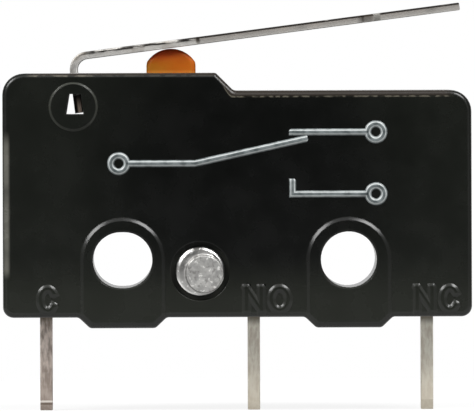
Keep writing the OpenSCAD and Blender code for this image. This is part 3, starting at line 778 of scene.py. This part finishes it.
def lever_strip():
    """Rings of a rounded rectangle along leg, bend and arm.

    The line runs up the leg, round a quarter circle and out along the arm; the normal turns with it. Half
    widths are straight steps between named lengths, and the tip draws in along a quarter circle.
    """
    ear = FOOT + EAR_TOP
    narrow = along_arm(NARROWING_X)
    nick = [along_arm(x) for x in NICK_X]
    back_steps = [ear, ear + EAR_STEP, narrow, narrow + ARM_STEP]
    back_half = [EAR_HALF, ROOT_HALF, ROOT_HALF, ARM_HALF]
    front_steps = back_steps + [nick[0], nick[0] + ARM_STEP, nick[1] - NICK_SLOPE, nick[1]]
    front_half = back_half + [ARM_HALF, ARM_HALF - NICK_DEPTH, ARM_HALF - NICK_DEPTH, ARM_HALF]
    tip = strip_length - STRIP_CORNER * (1 - np.sin(np.linspace(0, np.pi / 2, 5)))
    s = np.unique(np.concatenate([np.linspace(0, strip_length, STRIP_RINGS), front_steps, tip]))
    front, back = np.interp(s, front_steps, front_half), np.interp(s, back_steps, back_half)
    turn = np.clip((s - leg_length) / bend_length, 0, 1) * np.pi / 2
    arm = np.maximum(s - leg_length - bend_length, 0)
    x = BEND_RADIUS * (1 - np.cos(turn)) + arm
    z = np.minimum(s, leg_length) - FOOT + BEND_RADIUS * np.sin(turn)
    over = np.maximum(s - strip_length + STRIP_CORNER, 0)
    draw = STRIP_CORNER - np.sqrt(np.maximum(STRIP_CORNER ** 2 - over ** 2, 0))
    wide, thick = round_rectangle(((front + back) / 2 - draw)[:, None], (STRIP_HALF - draw)[:, None],
                                  STRIP_CORNER * 0.999, 3)
    y = wide + ((back - front) / 2)[:, None]
    own_x = x[:, None] - np.cos(turn)[:, None] * thick
    own_z = z[:, None] + np.sin(turn)[:, None] * thick
    cos, sin = np.cos(LEVER_TILT), np.sin(LEVER_TILT)
    tilted_x = hinge[0] + own_x * cos - own_z * sin
    tilted_z = hinge[2] + own_x * sin + own_z * cos
    inward = np.minimum(y + front[:, None], back[:, None] - y) / (STRIP_CORNER * 0.99)
    values = {"along": np.broadcast_to(s[:, None], y.shape), "through": thick / STRIP_HALF,
              "edge": 1 - np.clip(inward, 0, 1)}
    return np.stack([tilted_x, y, tilted_z], axis=-1), values


lever_rings, lever_values = lever_strip()
lever_points = lever_rings.reshape(-1, 3)
low, high = node_box("lever")
print("lever below its node, mm:", np.round(lever_points.min(0) - low, 3))
print("lever above its node, mm:", np.round(lever_points.max(0) - high, 3))

# %% Stamped steel
STREAKS_ALONG, STREAKS_THROUGH = 1.2, 1.6
STAINED_REACH = (10.5, 3.0)
TORN_SIDE = (-0.05, 0.4)
SHEARED_SIDE = (0.35, 0.62)


def stamped_steel(name):
    """Rolled steel with sheared edges: fine lines along the strip, stains, and a dark line near the top
    that is partly the torn zone of the shear and partly a painted dark reflection.

    The strip has a painted shadow at its step, a smudge before its nick, painted shade on the nick's slope
    that dims its glint, and painted shade on the ears in their windows. The burr under the lower edge is
    dull, so it is less metallic.
    """
    material, tree, shader = new_material(name)
    grain, patches, _ = use_group(tree, VARIATION, Grain_mm=0.09, Patch_mm=0.8)
    along, through, edge = (value_of(tree, label) for label in ("along", "through", "edge"))
    step, nick_start, nick_end = (along_arm(x) for x in (NARROWING_X, *NICK_X))

    def near(place, reach):
        return abs(along - place).ramp(reach, reach * 0.4)

    drawn = add(tree, "CombineXYZ", {0: along * STREAKS_ALONG, 1: through * STREAKS_THROUGH})
    streaks = add(tree, "TexNoise", {"Vector": drawn, "Scale": 1.0, "Detail": 4.0})
    past_step = along.ramp(step - 0.5, step + 0.5)
    upper = past_step.mix((206, 203, 198), (166, 161, 155))
    lower = past_step.mix((246, 244, 240), (212, 209, 204))
    stain = patches.ramp(0.46, 0.66, 0.0, 0.6) * along.ramp(*STAINED_REACH, 0.25, 1.0)
    past_bend = along.ramp(leg_length + 0.3, leg_length + 1.4, 0.2, 1.0)
    torn = through.ramp(*TORN_SIDE) * past_bend * streaks.ramp(0.42, 0.54)
    sheared = through.ramp(*SHEARED_SIDE) * streaks.ramp(0.26, 0.38)
    torn_line_and_reflection = add(tree, "Mix", {0: past_step, 2: torn, 3: sheared})
    # painted shadow where the strip steps in width
    step_shadow = near(step + 0.05, 0.12) * through.ramp(-0.8, 0.1, 0.1, 0.8)
    smudge = near(nick_start + 0.2, 0.45) * 0.55
    # painted shade on the ears, deep in the housing's windows
    ear = along.ramp(0.1, FOOT + 0.1).mix((128, 114, 104), (34, 30, 27))
    base = coats(
        (206, 203, 198),
        (edge, through.ramp(-0.9, 0.6).mix(lower, upper)),
        (stain, (138, 126, 112)),
        # partly the dark torn zone of the shear, partly a painted dark reflection
        (torn_line_and_reflection * edge.ramp(0.0, 0.35, 0.0, 0.95), (26, 22, 20)),
        # painted shadow at the step, and a smudge before the nick
        (step_shadow.math("MAXIMUM", smudge) * edge, (70, 62, 54)),
        # painted shade on the nick's slope that dims its glint
        (near(nick_end - 0.15, 0.2) * edge, (140, 138, 133)),
        # painted shade on the ears
        (along.ramp(FOOT + 0.3, FOOT + 0.1), through.ramp(-0.2, 0.35).mix(ear, (14, 12, 11))),
    )
    feed(shader.inputs["Metallic"], 1.0 - edge * through.ramp(-0.6, -0.95, 0.0, 0.8))
    finish_shader(shader, base, patchy_gloss(patches, 0.44, 0.60), grain + streaks * 0.5, 0.006)
    return material


lever_mesh = shaped("lever_strip", loft(lever_rings), lever_values)
lever = place("lever_strip", lever_mesh, stamped_steel("lever steel"), "lever", "lever_steel", ["lever"])
keep_flats(lever)

# %% [markdown]
# ## The plunger
#
# A small orange moulding that the lever presses into the housing. Its top is a flat arch with soft front
# and back edges, a flange under the roof keeps it in, and two feet push on the blade. Each of the three
# forms is an outline carried through the thickness, drawn in near its ends along a quarter circle.

# %% Arch, flange and feet
plunger_low, plunger_high = node_box("plunger")
plunger_x = (plunger_low[0] + plunger_high[0]) / 2
FLANGE_OVERHANG = 0.26
FLANGE_Z = (6.48, 6.98)
DOME_RADIUS = 1.2
DOME_SHOULDER = 0.75
ARCH_EDGE = 0.18
SMALL_EDGE = 0.05
FOOT_RADIUS = 0.3
FOOT_PLACE, FOOT_HALF = 1.125, 0.25
arch_half = (plunger_high[0] - plunger_low[0]) / 2 - FLANGE_OVERHANG
arch_depth = plunger_high[1] - FLANGE_OVERHANG
dome_z = plunger_high[2] - DOME_RADIUS


def drawn_in(half_depth, radius, steps=6):
    """Places from front to back and how far the outline draws in there: r - r cos, at depth - r + r sin."""
    turn = np.linspace(0, np.pi / 2, steps)
    y = half_depth - radius + radius * np.sin(turn)
    inset = radius * (1 - np.cos(turn))
    return np.concatenate([-y[::-1], y]), np.concatenate([inset[::-1], inset])


def carried(x, y, z):
    """A skin over outlines of x and z, one at each place y, on the plunger's middle line."""
    return loft(np.stack([plunger_x + x, np.broadcast_to(y[:, None], x.shape), z], axis=-1))


def arch():
    """A straight-sided outline under a dome: the lower of a wide circle and a round-cornered square.

    At x the circle is sqrt(r^2 - x^2) high; the square's corner falls away by s - sqrt(s^2 - d^2), where d
    is how far x lies past the middle of the corner of radius s.
    """
    y, inset = drawn_in(arch_depth, ARCH_EDGE)
    half, radius = arch_half - inset[:, None], DOME_RADIUS - inset[:, None]
    across = half * np.cos(np.linspace(0, np.pi, 49))
    past = np.clip(np.abs(across) - half + DOME_SHOULDER, 0, DOME_SHOULDER)
    corner = radius - DOME_SHOULDER + np.sqrt(DOME_SHOULDER ** 2 - past ** 2)
    top = dome_z + np.minimum(np.sqrt(radius ** 2 - across ** 2), corner)
    x = np.concatenate([half, across, -half], axis=1)
    foot = np.full_like(half, FLANGE_Z[0] + SMALL_EDGE)
    return carried(x, y, np.concatenate([foot, top, foot], axis=1))


def flange():
    """A round-cornered plate under the roof of the housing."""
    y, inset = drawn_in(plunger_high[1], SMALL_EDGE, 4)
    half_x = arch_half + FLANGE_OVERHANG - inset[:, None]
    half_z = (FLANGE_Z[1] - FLANGE_Z[0]) / 2 - inset[:, None]
    x, z = round_rectangle(half_x, half_z, SMALL_EDGE * 0.99)
    middle = (FLANGE_Z[0] + FLANGE_Z[1]) / 2
    return carried(x, y, middle + z)


def foot(side):
    """A tongue with a half-round end that bears on one rail of the blade."""
    y, inset = drawn_in(FOOT_HALF, SMALL_EDGE, 4)
    radius = FOOT_RADIUS - inset[:, None]
    angle = np.linspace(np.pi, 2 * np.pi, 17)
    x = np.concatenate([-radius, radius * np.cos(angle), radius], axis=1)
    top = np.full_like(radius, FLANGE_Z[0] + SMALL_EDGE)
    z = np.concatenate([top, plunger_low[2] + FOOT_RADIUS + radius * np.sin(angle), top], axis=1)
    return carried(x, side * FOOT_PLACE + y, z)


print("plunger above the roof, mm:", round(2 * arch_half, 2), "wide,", round(2 * arch_depth, 2), "deep")

# %% Orange moulded plastic
LEFT_SIDE = (0.5, -0.9)
LEVER_SHADE_Z = (8.2, 8.95)
MUSTARD_Z = (8.6, 8.0)
ROOF_GLOW_Z = (8.0, 7.88)


def orange_plastic(name):
    """Orange plastic with painted light and shade: redder under the lever, yellower low on the left and
    where light comes up from the roof.
    """
    material, tree, shader = new_material(name, Specular_IOR_Level=0.15, Subsurface_Weight=0.4,
                                          Subsurface_Scale=0.7 * MM)
    grain, patches, _ = use_group(tree, VARIATION, Grain_mm=0.08, Patch_mm=0.9)
    _, x, _, z = position(tree)
    left = (x - plunger_x).ramp(*LEFT_SIDE)
    base = coats(
        patchy(patches, (172, 88, 13), (184, 98, 17)),
        # painted light: yellower low on the left
        (left * z.ramp(*MUSTARD_Z, 0.0, 0.7), (148, 100, 18)),
        # painted light coming up from the roof
        (z.ramp(*ROOF_GLOW_Z, 0.0, 0.5), (204, 132, 58)),
        # painted shade: redder under the lever
        (z.ramp(*LEVER_SHADE_Z, 0.0, 0.9) * (left * 0.6 + 0.4), (244, 84, 52)),
    )
    finish_shader(shader, base, patchy_gloss(patches, 0.45, 0.60), grain, 0.004)
    return material


plunger_shape = joined([arch(), flange(), foot(-1), foot(1)])
plunger = place("plunger_pin", shaped("plunger_pin", plunger_shape), orange_plastic("plunger plastic"),
                "plunger", "plunger_plastic", ["plunger"])
keep_flats(plunger)

# %% [markdown]
# ## The rivet
#
# A soft metal rivet holds the two halves. Its front end was upset by a spinning punch that never sits quite
# central, so a flat disc stands off centre on a round rim. A turned shape can't do that, so the rings of
# this surface keep their radius and depth but slide sideways as they near the front.

# %% Shank, head and peened end
rivet_low, rivet_high = node_box("rivet")
rivet_front, rivet_back = rivet_low[1], rivet_high[1]
PEEN_SHIFT = np.array([0.18, -0.12])
TIER_DEPTH = 0.135
LIP_RADIUS, LIP_ROUND = 0.735, 0.05
RIM_RADIUS = 1.03
SEAT = 2.68
SHANK = 0.75
HEAD, HEAD_ROUND = 1.2, 0.12
WOBBLE = 0.012
LOW_RIM_SLOPE = 0.3
UPPER_RIM, LOWER_RIM, RIM_FADE = 0.9, 0.95, 0.03
# painted rim light: angles round the rim and the highlight there, below 0 for painted shade
RIM_LIGHT_TABLE = [(0, 0.2), (25, 0.4), (40, 1), (83, 1), (90, -0.8), (107, -0.8), (114, 1), (158, 1),
             (168, 0), (190, 0), (205, 0.9), (300, 1), (335, 0.8), (360, 0.2)]


def rivet_surface(segments=96):
    """Rings of radius r at depth y, whose centre slides by share * PEEN_SHIFT: (r, y, share) per ring.

    The share is given back too, with the rim's painted light, because the punched disc is duller than the
    rim.
    The rim carries painted highlights and painted shade: RIM_LIGHT_TABLE has pairs of an angle and the
    light there, below 0 where the rim is painted dark. The lower half of the rim is beaten flatter: its
    slope keeps
    LOW_RIM_SLOPE of its fall.
    """
    tier = rivet_front + TIER_DEPTH
    turn = np.linspace(0, np.pi / 2, 7)
    disc = [[1e-4, rivet_front + 0.03, 1], [0.35, rivet_front + 0.025, 1], [0.62, rivet_front + 0.008, 1]]
    lip = np.stack([LIP_RADIUS + LIP_ROUND * np.sin(turn), rivet_front + LIP_ROUND * (1 - np.cos(turn)),
                    np.ones_like(turn)], axis=1)
    floor = [[0.81, tier - 0.02, 0.9], [0.82, tier, 0.5]]
    rim = [[0.90, tier + 0.01, 0.25], [0.92, tier + 0.015, 0.2], [1.0, tier + 0.06, 0.05],
           [1.02, tier + 0.08, 0], [RIM_RADIUS, tier + 0.12, 0]]
    seat = [[RIM_RADIUS, -SEAT, 0], [SHANK, -SEAT, 0], [SHANK, SEAT, 0], [HEAD, SEAT, 0]]
    head = np.stack([HEAD - HEAD_ROUND * (1 - np.cos(turn)), rivet_back - HEAD_ROUND * (1 - np.sin(turn)),
                     np.zeros_like(turn)], axis=1)
    centre = [[0.6, rivet_back, 0], [1e-4, rivet_back - 0.005, 0]]
    rows = np.vstack([disc, lip, floor, rim, seat, head, centre])
    radius, depth, share = rows.T[:, :, None]
    angle = np.linspace(0, 2 * np.pi, segments, endpoint=False)
    wobble = 1 + WOBBLE * share * (np.sin(3 * angle + 0.6) + 0.6 * np.sin(7 * angle + 2.0))
    x = RIVET_AXIS[0] + share * PEEN_SHIFT[0] + radius * wobble * np.cos(angle)
    z = RIVET_AXIS[1] + share * PEEN_SHIFT[1] + radius * wobble * np.sin(angle)
    slope = (radius > LOWER_RIM) & (depth < tier + 0.1)
    beaten = slope * np.clip(-2 * np.sin(angle), 0, 1) * (1 - LOW_RIM_SLOPE)
    y = depth - beaten * (depth - tier - 0.02)
    # painted highlights and painted shade round the rim, from the table
    rim_light = np.interp(np.degrees(angle), *np.transpose(RIM_LIGHT_TABLE))
    start = np.where(angle > np.pi, LOWER_RIM, UPPER_RIM)
    values = {"disc": np.broadcast_to(share, x.shape),
              "rim": np.clip((radius - start) / RIM_FADE, 0, 1) * rim_light}
    return loft(np.stack([x, y, z], axis=-1)), values


rivet, rivet_values = rivet_surface()
print("rivet points:", len(rivet[0]))

# %% Peened metal
LOW_RIM_Z = RIVET_AXIS[1] - np.array([0.1, 0.4])
BLOWS_PER_MM = 5.0


def peened_metal(name):
    """Grey metal, hammered: soft dents, small bright nicks and darker hollows.

    Along the lower rim the painted highlight is also less metallic, which makes it paler.
    """
    material, tree, shader = new_material(name)
    grain, patches, _ = use_group(tree, VARIATION, Grain_mm=0.12, Patch_mm=0.35)
    edge = use_group(tree, EDGES, Reach_mm=0.05)[0]
    _, x, _, z = position(tree)
    disc = value_of(tree, "disc").ramp(0.5, 0.95)
    rim_light = value_of(tree, "rim")
    rim_glint = rim_light.ramp(0.0, 1.0)
    flat = add(tree, "CombineXYZ", {0: x, 1: z})
    pattern = {"Vector": flat, "Scale": BLOWS_PER_MM, "Detail": 2.0, "Distortion": 0.3}
    blows = add(tree, "TexNoise", pattern, noise_dimensions="2D")
    base = coats(
        patchy(patches, (158, 157, 155), (198, 197, 194)),
        # painted shade on the rim
        (rim_light.ramp(0.0, -0.8), (104, 103, 100)),
        # painted highlights round the rim
        (rim_glint, (246, 245, 242)),
        (disc, patchy(patches, (158, 157, 155), (204, 203, 200))),
        (blows.ramp(0.42, 0.3, 0.0, 0.6) * disc, (116, 114, 111)),
        (blows.ramp(0.6, 0.7, 0.0, 0.8), (250, 249, 246)),
        # paler edges: partly polish, partly a painted highlight
        (edge * 0.5, (226, 225, 221)),
    )
    # the painted highlight on the lower rim is less metallic, so it shows paler
    feed(shader.inputs["Metallic"], 1.0 - rim_glint * z.ramp(*LOW_RIM_Z))
    rough = disc.ramp(0.0, 1.0, 0.34, 0.52) - edge * 0.1
    finish_shader(shader, base, rough, patches + grain * 0.3, 0.02)
    return material


place("rivet_peened", shaped("rivet_peened", rivet, rivet_values), peened_metal("rivet metal"),
      "housing", "rivet_metal", ["rivet"])

# %% [markdown]
# ## The pins
#
# The three terminals are blanked from brass strip and tin plated for soldering. Plating is a warm dull
# silver, streaked along the pin. Painted shade darkens it a little towards the tip, against the brighter
# light there, and it is darker just under the housing. It could be one even colour, but the streaks show
# how the strip was rolled.
# The solids have the right form, so only their edges are broken.

# %% Tin-plated pins
PIN_TOP = -2.4
PIN_TIP = node_box("common_terminal")[0][2]
PIN_EDGE = 0.03
TOP_DARK_DEPTH, TIP_SHADE_DEPTH = 0.45, 0.8
COINED_RISE, GROUND_RISE = 0.38, 0.28
TIP_LINE_HALF = (0.06, 0.02)
STREAKS_PER_MM = (9, 9, 2.5)


def tin_plate(name, light, dark, dull, tip_line):
    """Dull plating: streaks between a light and a dark tone, painted shade towards the tip, small specks.

    A pale and a dark line, as strong as tip_line, are a painted highlight and a painted shade where the tip
    was coined to a wedge.
    """
    material, tree, shader = new_material(name, Metallic=0.85)
    grain, patches, specks = use_group(
        tree, VARIATION, Grain_mm=0.05, Patch_mm=0.6, Speck_mm=0.25, Speck_share=0.3)
    edge = use_group(tree, EDGES, Reach_mm=0.06)[0]
    spot, _, _, z = position(tree)

    # a line where the tip's wedge begins, for painted highlight and painted shade
    def tip_shading_line(rise):
        return abs(z - (PIN_TIP + rise)).ramp(*TIP_LINE_HALF, 0.0, tip_line)

    drawn = add(tree, "Mapping", {"Vector": spot, "Scale": STREAKS_PER_MM})
    streaks = add(tree, "TexNoise", {"Vector": drawn, "Scale": 1.0, "Detail": 3.0})
    cloudy = streaks * 0.6 + patches * 0.4
    base = coats(
        cloudy.ramp(0.36, 0.62).mix(dark, light),
        # painted shade: darker towards the tip, against the brighter light there
        (z.ramp(PIN_TOP - TIP_SHADE_DEPTH, PIN_TIP, 0.0, 0.75), dull),
        # darker just under the housing
        (z.ramp(PIN_TOP - TOP_DARK_DEPTH, PIN_TOP, 0.0, 0.8), (84, 74, 52)),
        (specks * 0.6, (110, 98, 82)),
        # painted highlight and painted shade where the tip's wedge begins
        (tip_shading_line(COINED_RISE), (250, 244, 236)),
        (tip_shading_line(GROUND_RISE), (120, 106, 94)),
        # paler edges: partly wear, partly a painted highlight
        (edge * 0.3, (226, 221, 210)),
    )
    finish_shader(shader, base, patchy_gloss(patches, 0.56, 0.70), grain, 0.004)
    return material


# each plate: a light and a dark tone, the tone of the painted shade at the tip, and the strength of the
# tip's painted lines
plain_plate = ((255, 252, 240), (230, 221, 206), (206, 197, 180), 0.0)
brown_plate = ((240, 228, 219), (168, 154, 144), (160, 146, 136), 0.8)
PLATES = {"common_terminal": brown_plate, "normally_open_terminal": plain_plate,
          "normally_closed_terminal": plain_plate}
for node, plate in PLATES.items():
    pin = place(node + "_pin", skin_mesh(node), tin_plate(node + " plating", *plate), "housing",
                "terminal_plating", [node])
    break_edges(pin, PIN_EDGE)

# %% [markdown]
# ## Spring and contacts
#
# Inside, a copper alloy blade with a bowed tongue snaps between two silver contacts. When the lever goes
# down the blade flattens towards its anchor; here its copy gets a mesh of its own and keeps its shape. The
# contacts keep their CAD meshes and only get their finish.

# %% Copper blade and silver contacts
def worn_metal(name, light, dark, smooth, rough):
    """Bare metal in two tones, with fine rolling grain."""
    material, tree, shader = new_material(name, Metallic=1.0)
    grain, patches, specks = use_group(
        tree, VARIATION, Grain_mm=0.05, Patch_mm=0.7, Speck_mm=0.3, Speck_share=0.1)
    base = (specks * 0.4).mix(patchy(patches, dark, light), dark)
    finish_shader(shader, base, patchy_gloss(patches, smooth, rough), grain, 0.004)
    return material


spring_copper = worn_metal("spring copper", (222, 150, 104), (188, 118, 78), 0.22, 0.36)
blade = place("snap_blade", skin_mesh("snap_spring"), spring_copper, "housing", "spring_copper",
              ["snap_spring"])
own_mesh(blade)
contact_silver = worn_metal("contact silver", (232, 230, 224), (206, 203, 196), 0.18, 0.32)
for node in ("moving_contact", "normally_open_contact", "normally_closed_contact"):
    contact = frame["nodes"][node]
    contact.data.materials.clear()
    contact.data.materials.append(contact_silver)
    print(node, "is silver")

# %% [markdown]
# ## Floor, light and background
#
# The photograph is a cut-out on white. A white room would do that too, but it would turn the black face
# grey. So the floor and the world look white to the camera only, and light the object at a plain level.
# Reflections see a small studio instead: a dark place where the lens is, a bright ring round it, dimmer
# sides, a bright back and a paler floor. Two soft boxes above, left and right, draw the paired glints on
# round edges.

# %% Floor
FLOOR_RADIUS = 55
FLOOR_CORNERS = 64
FLOOR_GLOW = 0.86
FLOOR_IN_MIRROR = 0.7
FIBRES_PER_MM = 0.4
floor_z = cad_low[2] / MM


def floor_disc():
    """A flat disc: one ring of points round the middle, at the height of the pin tips."""
    angle = np.linspace(0, 2 * np.pi, FLOOR_CORNERS, endpoint=False)
    x, y = FLOOR_RADIUS * np.cos(angle), FLOOR_RADIUS * np.sin(angle)
    return np.stack([x, y, np.full_like(angle, floor_z)], axis=1), [list(range(FLOOR_CORNERS))]


def seen_straight(path):
    """1 for camera rays and for rays through clear things, which see a white background."""
    return path.at("Is Camera Ray").math("MAXIMUM", path.at("Is Transmission Ray"))


def pale_floor(name):
    """White paper that glows for the camera, so that only shadows show, and less in reflections."""
    material, tree, shader = new_material(name, Roughness=0.9, Specular_IOR_Level=0.0)
    spot = position(tree)[0]
    fibre = add(tree, "TexNoise", {"Vector": spot, "Scale": FIBRES_PER_MM, "Detail": 3.0})
    path = add(tree, "LightPath")
    seen = seen_straight(path).math("MAXIMUM", path.at("Is Glossy Ray") * FLOOR_IN_MIRROR)
    feed(shader.inputs["Base Color"], fibre.mix((104, 104, 104), (110, 110, 110)))
    feed(shader.inputs["Emission Color"], (1, 1, 1, 1))
    feed(shader.inputs["Emission Strength"], seen * FLOOR_GLOW)
    return material


floor_mesh = shaped("floor", floor_disc())
floor_mesh.materials.append(pale_floor("pale floor"))
floor = new_object("floor", floor_mesh)
print("floor at z, mm:", round(floor_z, 3))

# %% World
LENS_LIGHT, RING_LIGHT, SIDE_LIGHT, BACK_LIGHT = 0.04, 1.0, 0.25, 1.0
RING_START, RING_FULL, RING_FADE, RING_END = -np.cos(np.radians([27, 42, 68, 86]))
SIDE_SHARE = 0.35
SIDE_START, SIDE_FULL = 0.45, 0.8
BACK_START, BACK_FULL = 0.5, 0.9
world = bpy.data.worlds.new("studio")
scene.world = world
world.use_nodes = True
sky = world.node_tree
toward = add(sky, "SeparateXYZ", {0: add(sky, "TexCoord").at("Generated")})
across, deep = toward.at("X"), toward.at("Y")
inner = deep.ramp(RING_START, RING_FULL, LENS_LIGHT, RING_LIGHT)
outer = deep.ramp(RING_FADE, RING_END, RING_LIGHT, SIDE_LIGHT)
ring = inner.math("MINIMUM", outer) * abs(across).ramp(SIDE_START, SIDE_FULL, 1.0, SIDE_SHARE)
room = ring + deep.ramp(BACK_START, BACK_FULL, 0.0, BACK_LIGHT - SIDE_LIGHT)
white = seen_straight(add(sky, "LightPath"))
background = sky.nodes["Background"].inputs
feed(background["Strength"], add(sky, "Mix", {0: white, 2: room, 3: 1.0}))
feed(background["Color"], (1, 1, 1, 1))
print("world:", world.name)

# %% Soft boxes
BOX_DIRECTIONS = {"left box": (-0.62, -0.50, 0.60), "right box": (0.46, -0.50, 0.73)}
BOX_DISTANCE, BOX_SIZE = 300 * MM, 130 * MM
BOX_WATTS = 0.70
for name, direction in BOX_DIRECTIONS.items():
    lamp = bpy.data.lights.new(name, "AREA")
    lamp.shape = "SQUARE"
    lamp.size = BOX_SIZE
    lamp.energy = BOX_WATTS
    box = new_object(name, lamp)
    box.location = VIEW_CENTRE + Vector(direction).normalized() * BOX_DISTANCE
    box.rotation_euler = Vector(direction).to_track_quat("Z", "Y").to_euler()
    box.visible_camera = False
    print(name, "at, mm:", [round(c / MM) for c in box.location])

scene.view_settings.view_transform = "Standard"
